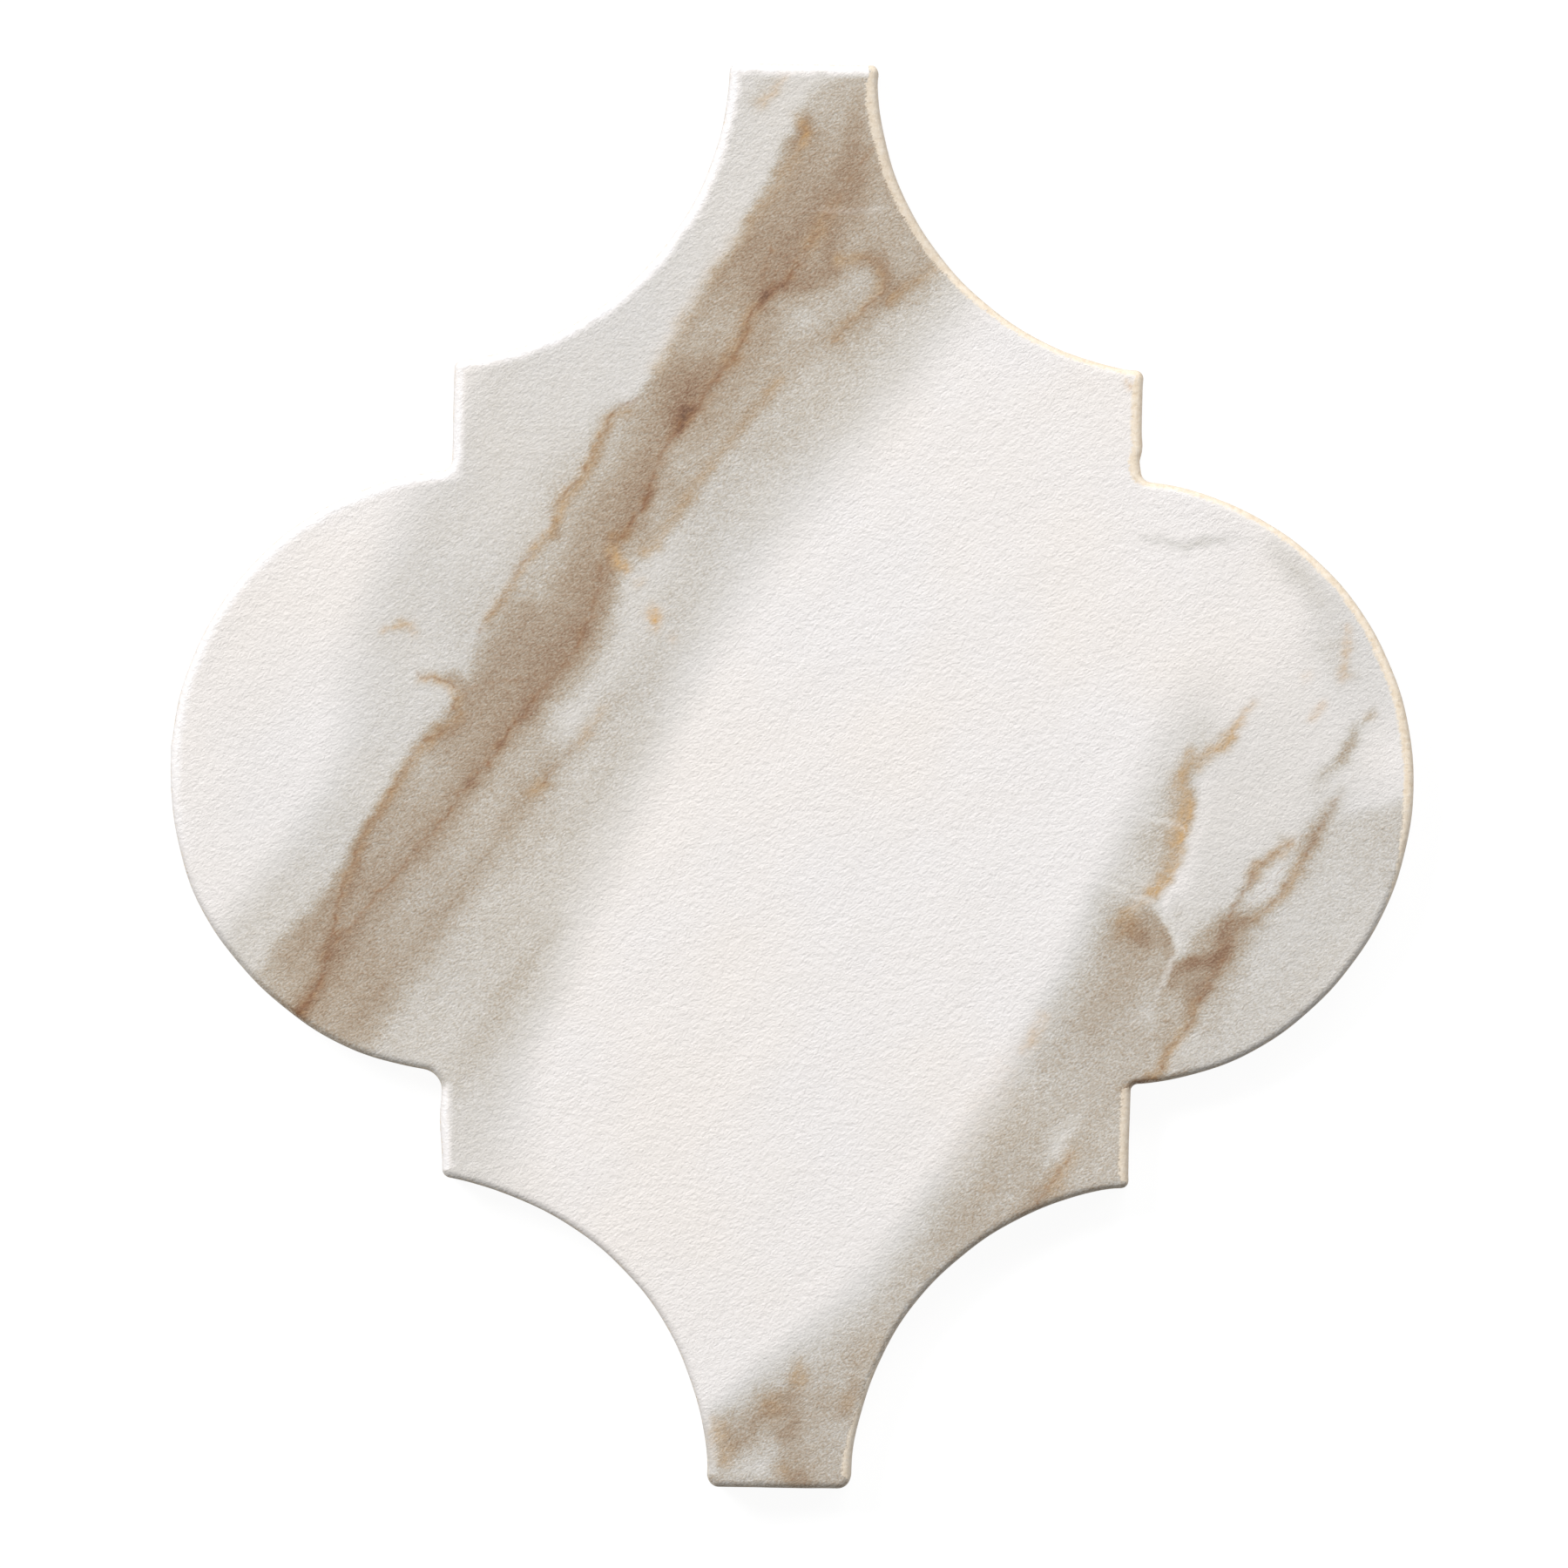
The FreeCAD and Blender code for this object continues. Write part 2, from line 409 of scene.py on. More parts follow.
def over(layers):
    """Layers of pigment, the strongest counting most: the fourth root of the sum of their fourth powers."""
    return sum(np.maximum(layer, 0) ** 4 for layer in layers) ** 0.25


# Tone: 0 is the pale ground, 1 dark taupe. First the main band: a sharp left edge, a right one that frays
main_left = [
    (985, 40, 24, .36), (944, 86, 24, .46), (927, 110, 20, .54), (908, 140, 14, .66), (892, 176, 12, .68),
    (873, 218, 13, .66), (853, 249, 12, .62), (845, 274, 12, .62), (812, 318, 12, .54), (784, 364, 12, .54),
    (751, 422, 12, .5), (725, 458, 10, .46), (701, 475, 9, .54), (677, 525, 9, .52), (649, 568, 10, .5),
    (631, 600, 14, .45), (592, 640, 14, .4), (567, 685, 16, .44), (543, 730, 18, .5), (530, 790, 16, .48),
    (496, 830, 18, .48), (465, 872, 12, .44), (432, 920, 12, .5), (398, 970, 14, .56), (374, 1015, 14, .58),
    (339, 1052, 14, .58), (308, 1088, 16, .54), (276, 1130, 18, .46), (236, 1170, 18, .5),
]
main_right = [
    (1130, 240, 14, .85), (1075, 312, 12, .9), (1040, 342, 14, .95), (1000, 390, 30), (908, 440, 26),
    (864, 500, 20), (824, 545, 16), (794, 590, 16), (755, 630, 16), (713, 675, 16), (700, 730, 20),
    (655, 775, 18), (622, 825, 16), (655, 870, 26), (640, 915, 30), (600, 975, 30), (560, 1030, 34),
    (510, 1090, 36), (470, 1150, 34), (430, 1220, 34),
]
# Its darker left part, as far as the main vein
core_left = [
    (925, 130, 18, .06), (900, 180, 14, .1), (885, 218, 13, .12), (860, 249, 12, .16), (846, 274, 12, .2),
    (812, 318, 12, .2), (784, 364, 14, .16), (754, 422, 14, .26), (742, 458, 16, .3), (735, 485, 18, .24),
    (722, 520, 20, .17), (690, 568, 20, .22), (668, 600, 22, .26), (640, 640, 26, .31), (596, 685, 24, .3),
    (566, 730, 20, .3), (540, 790, 16, .27), (500, 830, 18, .23), (470, 872, 14, .15), (440, 920, 14, .12),
    (406, 970, 14, .1), (384, 1015, 14, .12), (345, 1052, 16, .16), (312, 1088, 18, .1),
    (276, 1130, 18, .08),
]
core_right = [
    (1020, 100, 20), (988, 188, 20), (946, 261, 18), (921, 305, 16), (884, 341, 14), (866, 372, 14),
    (857, 399, 14), (826, 440, 18), (785, 486, 14), (762, 527, 12), (750, 574, 12), (720, 622, 14),
    (710, 652, 14), (705, 694, 16), (694, 745, 18), (648, 802, 18), (604, 842, 14), (560, 882, 14),
    (520, 936, 18), (482, 983, 22), (450, 1030, 26), (420, 1080, 26), (400, 1130, 26), (390, 1200, 26),
]
# The grey shadow to the right of it, which fades into the ground over two centimetres
shadow_left = [(830, 380, 50, .42), (680, 560, 50, .42), (560, 800, 50, .42), (420, 1060, 50, .42)]
shadow_right = [
    (1120, 330, 44, .8), (1057, 400, 52, .95), (1008, 460, 60), (954, 520, 68), (903, 580, 70, .92),
    (864, 640, 60, .84), (828, 700, 56, .8), (790, 760, 54, .84), (765, 820, 52, .95), (738, 880, 50, .9),
    (714, 940, 52, .82), (684, 1000, 56, .82), (654, 1060, 56, .84), (642, 1120, 42, .88),
    # its last two points carry a soft grey on towards the lower left corner: painted shade near that edge
    (612, 1180, 38, .82), (590, 1240, 46, .76), (585, 1300, 60, .52), (590, 1380, 70, .42),
]
# The light grey veil to the left of it
veil_left = [
    (560, 380, 40, .19), (500, 520, 42, .22), (450, 620, 44, .25), (418, 700, 50, .25), (404, 780, 54, .23),
    (404, 850, 40, .25), (362, 930, 34, .28), (303, 1010, 34, .27), (258, 1060, 30, .28),
    (220, 1120, 30, .3),
]
veil_right = [
    (1010, 40, 20, 1.1), (900, 250, 20, 1.1), (760, 480, 20, 1.08), (560, 800, 20), (330, 1150, 20),
]
# The band of the foot, which runs up into the right lobe
foot_left = [
    (1360, 740, 34, .02), (1345, 800, 34, .11), (1322, 870, 34, .21), (1303, 930, 34, .29),
    (1276, 1000, 34, .37), (1255, 1050, 36, .48), (1235, 1105, 36, .52), (1200, 1165, 38, .49),
    (1167, 1230, 38, .46), (1124, 1290, 38, .48), (1086, 1355, 40, .54), (1052, 1410, 42, .52),
    (1000, 1480, 44, .44), (915, 1550, 44, .46), (845, 1605, 34, .56), (800, 1650, 30, .5),
]
foot_right = [
    (1480, 700, 40), (1400, 830, 20), (1372, 925, 9), (1345, 1000, 10), (1326, 1034, 10), (1344, 1064, 9),
    (1352, 1110, 20), (1345, 1180, 22), (1330, 1260, 26), (1320, 1400, 30), (1200, 1700, 30),
]
# The grey of the lobe itself, and its darker part below the right vein
lobe_left = [
    (1500, 560, 50, .03), (1500, 700, 50, .05), (1450, 785, 44, .11), (1372, 835, 36, .15),
    (1378, 930, 20, .14), (1368, 1000, 20, .2), (1350, 1060, 20, .23), (1350, 1200, 20, .3),
]
lobe_right = [(1720, 560, 20), (1720, 900, 20), (1700, 1200, 20)]
lower_left = [
    (1700, 906, 14, .38), (1600, 918, 14, .38), (1530, 938, 14, .34), (1495, 1000, 14, .28),
    (1450, 1060, 14, .23), (1400, 1140, 16, .26), (1340, 1230, 20, .31), (1300, 1300, 20, .31),
]
lower_right = [(1900, 1100, 20), (1700, 1300, 20), (1500, 1500, 20)]
tone = over([
    between(main_left, main_right),
    between(shadow_left, shadow_right),
    between(veil_left, veil_right),
    between(foot_left, foot_right),
    between(lobe_left, lobe_right),
    between(lower_left, lower_right),
]) + between(core_left, core_right)
# Pigment marks of the print, and one line of painted shade under the right lobe
STAINS_AND_SHADE = [
    # beside the main vein, where the band is darkest
    [(1001, 170, 20, .15), (960, 235, 26, 20, .16), (917, 305, 26, 16, .14), (879, 341, 24, 14, .2),
     (856, 379, 14, 12, .08), (853, 399, 12, .06), (822, 430, 24, 16, .18), (795, 458, 26, 20, .2),
     (782, 480, 20, 18, .36), (770, 508, 18, 12, .14), (757, 527, 12, .06), (745, 556, 20, 12, .18),
     (738, 580, 18, 12, .18), (716, 615, 16, 12, .08), (702, 632, 14, 12, .08), (694, 656, 18, 12, .14),
     (681, 694, 22, 14, .1), (640, 770, 22, 14, .08), (587, 834, 18, 12, .08), (540, 898, 22, 14, .14),
     (491, 960, 22, 16, .14), (426, 1036, 22, 18, .12), (382, 1086, 18, .2), (364, 1130, 14, 22, .16),
     (350, 1155, 16, 20, .26), (335, 1172, 16, 18, .26)],
    [(797, 470, 6, .3), (788, 479, 8, 7, .7), (779, 489, 7, 6, .46), (772, 498, 5, .16)],
    [(900, 325, 6, .3), (889, 333, 6, .34), (879, 341, 7, 6, .6), (870, 350, 5, .2)],
    [(858, 374, 6, .2), (855, 381, 7, 6, .44), (851, 392, 6, .22)], [(840, 412, 7, .24)],
    [(746, 560, 5, .2), (744, 570, 6, 5, .4), (740, 580, 6, 5, .26)], [(577, 856, 6, 5, .46)],
    [(724, 608, 8, 7, .18), (714, 614, 8, 7, .22), (706, 618, 8, 7, .2)], [(672, 726, 9, 8, .18)],
    [(610, 806, 7, .14), (602, 815, 7, 6, .2), (594, 825, 6, .12)], [(540, 898, 8, 7, .26)],
    [(350, 1154, 9, .4), (341, 1168, 8, .44)],
    # left of the left vein
    [(692, 496, 24, 6, .12), (655, 545, 26, 6, .14), (630, 585, 24, 6, .12), (598, 628, 24, 6, .05),
     (572, 665, 24, 6, .06), (545, 705, 24, 6, .1), (528, 740, 22, 6, .05)],
    [(732, 476, 8, .1), (722, 472, 8, .22), (706, 467, 8, .3), (699, 478, 8, 7, .28),
     (694, 498, 8, 7, .26), (681, 527, 8, 7, .34), (671, 541, 8, 7, .28), (658, 560, 8, 7, .26),
     (644, 577, 9, 8, .34), (636, 587, 8, .28), (640, 600, 7, .38), (638, 612, 7, .34), (625, 621, 7, .14),
     (612, 633, 7, .16), (599, 643, 7, .1), (588, 668, 7, .1), (574, 691, 7, .2), (560, 711, 8, 7, .18)],
    # the right band and the patches where it meets the lobe
    [(1290, 1058, 16, 12, .26), (1300, 1066, 18, 16, .38), (1313, 1076, 14, 12, .34)],
    [(1290, 1066, 26, .1), (1304, 1100, 26, 24, .13), (1290, 1136, 24, 20, .03)],
    [(1318, 1052, 9, 8, .18), (1334, 1064, 10, 7, .26), (1343, 1082, 12, 7, .42), (1346, 1096, 10, 6, .28)],
    [(1370, 1084, 12, .16), (1385, 1073, 15, .32), (1400, 1062, 12, .2)],
    [(1366, 1112, 14, .32), (1364, 1124, 12, 14, .36), (1359, 1140, 12, 13, .32), (1355, 1160, 13, .36),
     (1348, 1180, 13, .38), (1342, 1200, 12, .26), (1347, 1216, 12, .24)],
    [(1349, 1112, 8, 7, .26), (1361, 1104, 10, 8, .48), (1377, 1102, 11, 8, .5), (1396, 1098, 12, 9, .4),
     (1408, 1090, 10, 9, .2)],
    [(1401, 1072, 10, .26), (1411, 1061, 11, 10, .5), (1424, 1058, 11, 12, .44), (1442, 1054, 10, 12, .38),
     (1458, 1040, 9, .26), (1478, 1020, 6, 7, .28)],
    [(1408, 1080, 12, .36), (1402, 1100, 14, 12, .42), (1391, 1120, 14, 12, .48),
     (1380, 1140, 11, 10, .46), (1370, 1157, 10, 9, .48), (1368, 1174, 8, .42), (1359, 1187, 7, .28),
     (1350, 1197, 7, 6, .24), (1340, 1207, 7, .28), (1335, 1222, 7, .38), (1323, 1236, 8, .34)],
    [(1352, 1118, 8, .2), (1347, 1128, 9, .32), (1341, 1138, 7, .14)],
    [(1440, 1066, 13, .14), (1424, 1072, 15, .26), (1414, 1116, 13, .16), (1398, 1150, 13, .17),
     (1384, 1178, 12, .12)],
    [(1350, 1034, 10, .12), (1349, 1052, 11, 10, .22), (1348, 1070, 9, .1)], [(1376, 1084, 13, .1)],
    [(1326, 1086, 13, .1)], [(1372, 1138, 13, .12)], [(1342, 914, 14, .08)], [(1262, 1030, 22, 16, .07)],
    [(1320, 970, 18, .07)], [(1276, 1136, 24, .08), (1262, 1180, 22, .07)],
    [(1350, 1124, 26, .12), (1390, 1104, 30, .14), (1430, 1060, 26, .14), (1470, 1016, 20, .12),
     (1500, 976, 16, .12), (1526, 930, 16, .1)],
    [(1411, 1050, 8, .2), (1421, 1032, 7, .22), (1433, 1015, 8, .32), (1445, 996, 10, 9, .44),
     (1456, 985, 8, .3), (1470, 977, 8, .34), (1481, 966, 8, 7, .24), (1468, 960, 6, .14)],
    [(1556, 832, 5, 6, .18), (1551, 848, 7, 8, .5), (1544, 867, 8, .54), (1532, 880, 7, 8, .26),
     (1522, 887, 9, .28), (1512, 898, 12, .16)],
    [(1579, 813, 4, .16), (1573, 821, 5, 6, .36), (1566, 830, 4, .18)],
    [(1540, 906, 8, 10, .1), (1526, 930, 9, 10, .24), (1515, 950, 12, 11, .42), (1503, 969, 11, .44),
     (1492, 990, 10, .26), (1480, 1016, 9, 10, .18)],
    [(1438, 806, 5, 6, .1), (1428, 818, 7, 6, .12), (1419, 835, 8, 7, .18), (1413, 849, 10, 7, .42),
     (1401, 857, 10, 8, .34), (1388, 864, 10, 9, .34), (1377, 877, 10, 9, .28), (1368, 890, 10, 8, .22)],
    [(1367, 862, 8, 7, .34), (1362, 880, 12, 8, .38), (1359, 896, 16, 8, .38), (1364, 912, 20, 8, .38),
     (1367, 930, 22, 7, .4), (1363, 948, 24, 7, .4), (1360, 963, 24, 7, .42), (1354, 982, 22, 7, .36),
     (1343, 1004, 16, 7, .28), (1333, 1018, 12, 7, .24), (1323, 1030, 9, 7, .2)],
    # foot neck
    [(916, 1560, 9, .12), (919, 1573, 9, .16), (918, 1585, 11, 10, .24), (908, 1598, 11, .14)],
    [(902, 1605, 12, .18), (884, 1610, 16, 18, .3), (878, 1620, 14, 16, .34), (866, 1638, 10, .16),
     (846, 1656, 12, 14, .22), (834, 1674, 10, 12, .06)],
    [(905, 1620, 12, .18), (914, 1634, 12, .32), (901, 1646, 12, .3)],
    [(826, 1622, 8, .08), (824, 1636, 10, 12, .16), (832, 1650, 12, .14), (832, 1668, 12, .12)],
    [(894, 1686, 10, .14), (908, 1694, 16, 14, .28), (924, 1699, 12, .22)],
    [(984, 1590, 10, 8, .2), (977, 1609, 10, 9, .3), (968, 1623, 10, 9, .18)],
    [(1110, 1396, 16, 20, .04), (1092, 1418, 16, 20, .06)],
    [(1228, 1326, 12, .04), (1208, 1363, 14, 16, .16), (1190, 1382, 12, 14, .18), (1176, 1394, 12, .12)],
    # top neck, and the corner patch and right branch below it
    [(985, 96, 14, .12), (984, 130, 14, 16, .28), (980, 160, 14, 16, .18), (970, 195, 12, .08)],
    [(918, 134, 8, .14), (925, 149, 9, .52), (919, 160, 8, .2), (910, 168, 12, 10, .12)],
    [(956, 256, 12, 14, .12), (958, 284, 16, 14, .2), (950, 308, 14, 12, .26), (975, 298, 10, .14),
     (1003, 294, 11, .38), (1014, 312, 12, .34), (1020, 330, 12, .26), (1000, 350, 10, .08),
     (978, 368, 10, .14), (958, 389, 10, .12)],
    [(954, 318, 14, .18), (926, 324, 14, 12, .26), (904, 334, 12, 10, .14)],
    [(886, 360, 10, 14, .12), (874, 392, 10, 14, .12), (856, 430, 10, 14, .11), (844, 448, 10, 12, .1)],
    [(992, 208, 12, .1), (980, 240, 12, .13)],
    [(1024, 344, 14, 12, .2), (1050, 330, 16, 10, .22), (1074, 310, 14, 8, .14)],
    # tan streaks right of the main band
    [(700, 800, 9, .08), (680, 832, 10, .07), (643, 875, 14, .16), (622, 900, 16, 14, .22),
     (602, 922, 14, .16), (570, 960, 12, .1)],
    [(560, 985, 14, .1), (520, 1040, 14, .12), (495, 1080, 14, .04)],
    [(640, 1060, 10, 12, .06), (612, 1100, 14, 16, .1), (571, 1152, 16, 18, .09), (532, 1232, 18, .06)],
    [(500, 1064, 22, .04), (478, 1112, 22, .06), (446, 1150, 20, .08)],
    [(430, 1092, 20, .08), (424, 1134, 20, 22, .14), (412, 1182, 22, 26, .14)],
    [(624, 948, 24, .1), (578, 1012, 20, .07)],
    [(560, 880, 10, 14, .08), (526, 926, 16, .08), (492, 982, 22, .12)],
    [(895, 436, 10, 8, .12), (868, 470, 10, 8, .26), (845, 497, 12, 10, .14), (820, 530, 12, 10, .1),
     (804, 550, 14, 10, .12), (780, 590, 14, 10, .1), (757, 623, 14, 10, .14)],
    # hook left of the main band, and the edge of the lower left corner
    [(441, 721, 8, 6, .08), (462, 715, 7, 6, .14), (474, 726, 6, .1)],
    [(484, 776, 7, .14), (502, 778, 8, .22), (522, 778, 12, .46), (530, 790, 10, 9, .28),
     (522, 812, 9, 8, .18), (527, 832, 10, 9, .16), (512, 844, 12, 9, .2), (489, 844, 12, 9, .24),
     (476, 862, 8, .18), (460, 892, 8, .3), (444, 916, 8, .26), (429, 937, 8, .32), (416, 960, 8, .24),
     (404, 1000, 9, .22), (400, 1020, 8, .16), (390, 1044, 8, .1), (380, 1076, 8, 9, .14),
     (372, 1112, 8, 9, .06), (362, 1136, 9, .22)],
    # smudge and grey of the right lobe
    [(1312, 618, 5, .12), (1340, 622, 6, .18), (1360, 626, 6, .22), (1385, 621, 6, .22),
     (1408, 620, 6, .14), (1428, 616, 6, .05)],
    [(1464, 630, 16, .12), (1486, 652, 18, .22), (1514, 688, 20, .16)],
    [(1528, 742, 26, .16), (1544, 774, 14, .14)],
    [(1560, 700, 34, 30, .12), (1582, 780, 60, 40, .09), (1570, 860, 50, 30, .02)],
    [(885, 98, 16, .12), (868, 118, 12, .12)], [(741, 607, 12, .13), (738, 634, 11, .17)],
    [(766, 560, 10, 12, .09)], [(832, 472, 14, 12, .12), (812, 486, 14, .16), (797, 512, 12, .1)],
    [(782, 428, 16, .13)], [(944, 1616, 22, .12)], [(914, 1672, 16, .1)], [(838, 1632, 12, .14)],
    [(1500, 1002, 15, .12)], [(1382, 842, 16, .1)],
    # faint grey of the left lobe
    [(300, 760, 110, .04), (290, 980, 90, .03)],
    # painted shade: a thin dark line along the lower edge of the right lobe, where it meets the step below
    [(1286, 1251, 4, .2), (1298, 1246, 5, .6), (1330, 1241, 5, .55), (1368, 1228, 4, .12)],
    # more marks of the foot and its band
    [(826, 1692, 9, .06)], [(985, 1560, 14, .12), (1010, 1530, 12, .06)], [(1258, 1362, 8, .08)],
]
# Pale places, where the pigment is thin
HOLES = [
    [(790, 395, 30, .1), (838, 362, 26, .12)],
    [(925, 368, 20, .18), (950, 352, 20, .12), (975, 330, 18, .16), (992, 316, 10, .14)],
    [(652, 606, 12, .06), (636, 648, 16, .08), (618, 676, 16, .14)],
    [(760, 640, 26, .1), (738, 690, 24, .1), (708, 760, 22, .08), (655, 832, 18, .14)],
    [(705, 500, 10, .1), (690, 545, 12, .06)], [(1319, 1138, 10, 12, .1), (1321, 1172, 13, 12, .12)],
    [(1298, 1006, 16, 12, .07), (1323, 1017, 10, 9, .12)], [(1602, 868, 26, 30, .08)],
    [(300, 1120, 22, .1)], [(1464, 1004, 10, .08), (1446, 1030, 9, .08)],
    [(390, 1064, 7, .2), (412, 1040, 14, .1)], [(490, 878, 16, .1)],
    [(1232, 1284, 16, .1), (1216, 1310, 13, .2), (1206, 1332, 11, .12)],
    [(884, 1662, 12, .1), (862, 1682, 16, .2), (840, 1690, 14, .12)], [(880, 1686, 12, .13)],
    [(818, 1668, 10, .06)], [(1160, 1235, 30, .05), (1105, 1330, 30, .05)],
]
tone = tone + sum(stain(route) for route in STAINS_AND_SHADE) - sum(stain(route) for route in HOLES)

# Gold: soft washes of ochre where the veins carry iron
GOLD = [
    [(912, 182, 8, 10, .2), (876, 233, 8, 10, .2), (828, 295, 8, 10, .2), (784, 364, 8, 10, .2),
     (751, 422, 8, 10, .2)],
    [(958, 236, 10, 9, .2), (942, 261, 10, 9, .25), (930, 282, 10, 9, .25)],
    [(863, 358, 10, 9, .2), (838, 414, 10, 9, .25)], [(722, 611, 7, 6, .25), (707, 616, 7, 6, .4)],
    [(722, 472, 6, .2), (698, 476, 7, .35), (680, 527, 7, .35), (661, 556, 7, .3), (644, 577, 9, 8, .5),
     (639, 602, 6, .35), (612, 632, 6, .3), (588, 668, 6, .25), (557, 713, 6, .3)],
    [(702, 632, 8, .5), (711, 647, 8, 1.0), (718, 655, 6, .6)], [(735, 670, 6, .35)],
    [(749, 704, 8, 1.0), (753, 719, 7, .9)], [(772, 732, 6, .3)],
    [(901, 86, 5, .3), (888, 108, 6, .35), (871, 119, 6, .3)],
    [(914, 134, 5, .35), (924, 148, 5, .6), (926, 152, 5, 1.0), (923, 162, 5, .5), (917, 172, 5, .3)],
    [(1437, 808, 5, 6, .35), (1427, 820, 6, .5), (1414, 848, 8, 6, .6), (1402, 857, 9, 8, .5),
     (1388, 864, 9, 8, .5), (1376, 878, 8, .35)],
    [(1367, 864, 7, 6, .5), (1361, 882, 9, 7, .6), (1358, 897, 13, 7, .55), (1363, 915, 16, 7, .6),
     (1366, 930, 18, 6, .65), (1361, 950, 18, 6, .7), (1359, 964, 18, 6, .75), (1353, 983, 15, 6, .5),
     (1343, 1004, 13, 6, .55), (1333, 1018, 11, 6, .7), (1323, 1029, 9, 6, .8)],
    [(1313, 1034, 6, .3), (1297, 1045, 7, .35), (1282, 1056, 6, .3)], [(1294, 1062, 14, .25)],
    [(1548, 722, 5, .4), (1541, 777, 6, .55)], [(1519, 811, 5, .4), (1506, 823, 5, .45)],
    [(1573, 821, 6, .3)], [(1500, 777, 6, .3)],
    [(1481, 967, 8, 7, .35), (1471, 978, 8, 7, .5), (1458, 984, 6, .3), (1445, 997, 9, 8, .4),
     (1433, 1015, 6, .2)],
    [(1493, 988, 7, .25), (1479, 1020, 7, .35), (1459, 1038, 6, .3), (1442, 1052, 6, .2)],
    [(1369, 1157, 7, .25), (1366, 1176, 6, .25), (1350, 1197, 6, .35), (1336, 1220, 7, .3),
     (1323, 1236, 8, .4)],
    [(1195, 1168, 8, .35), (1190, 1185, 10, .4), (1174, 1206, 8, .25)],
    [(1228, 1324, 9, .4), (1208, 1364, 9, .3)], [(1131, 1366, 8, .2)],
    [(918, 1566, 8, .25), (918, 1585, 9, .4)], [(884, 1612, 14, .25)],
    [(823, 1636, 9, 10, .45), (832, 1658, 9, .2), (832, 1676, 9, .3)], [(977, 1609, 9, 8, .3)],
    [(898, 1690, 10, 8, .25)], [(818, 1636, 8, .25), (820, 1652, 9, .25), (820, 1672, 8, .18)],
    [(1160, 1235, 30, .1), (1105, 1330, 30, .08)], [(1010, 1545, 20, .06)],
    [(441, 722, 5, .4), (469, 714, 5, .5), (476, 728, 5, .3)],
    [(482, 778, 5, .4), (502, 778, 6, .5), (527, 798, 6, .4), (526, 832, 8, .2), (491, 846, 8, .3),
     (460, 892, 6, .25), (444, 916, 6, .35), (429, 936, 6, .15), (405, 992, 6, .25), (388, 1030, 6, .1)],
    [(895, 436, 5, .35), (863, 474, 6, .1), (804, 550, 8, 6, .2), (757, 623, 8, 6, .25),
     (740, 634, 9, 7, .4)],
    [(963, 300, 6, .6), (1001, 292, 6, .15), (1017, 322, 7, .35), (975, 371, 6, .2), (958, 389, 6, .2)],
    [(1024, 340, 8, 5, .3), (1050, 326, 6, 5, .1), (1074, 308, 8, 5, .35)],
    [(620, 901, 8, .4), (610, 912, 6, .3)], [(693, 813, 7, .2), (664, 851, 7, .25)],
    [(1293, 436, 4, .5), (1299, 443, 4, .6)],
]
gold = over([stain(route) for route in GOLD])

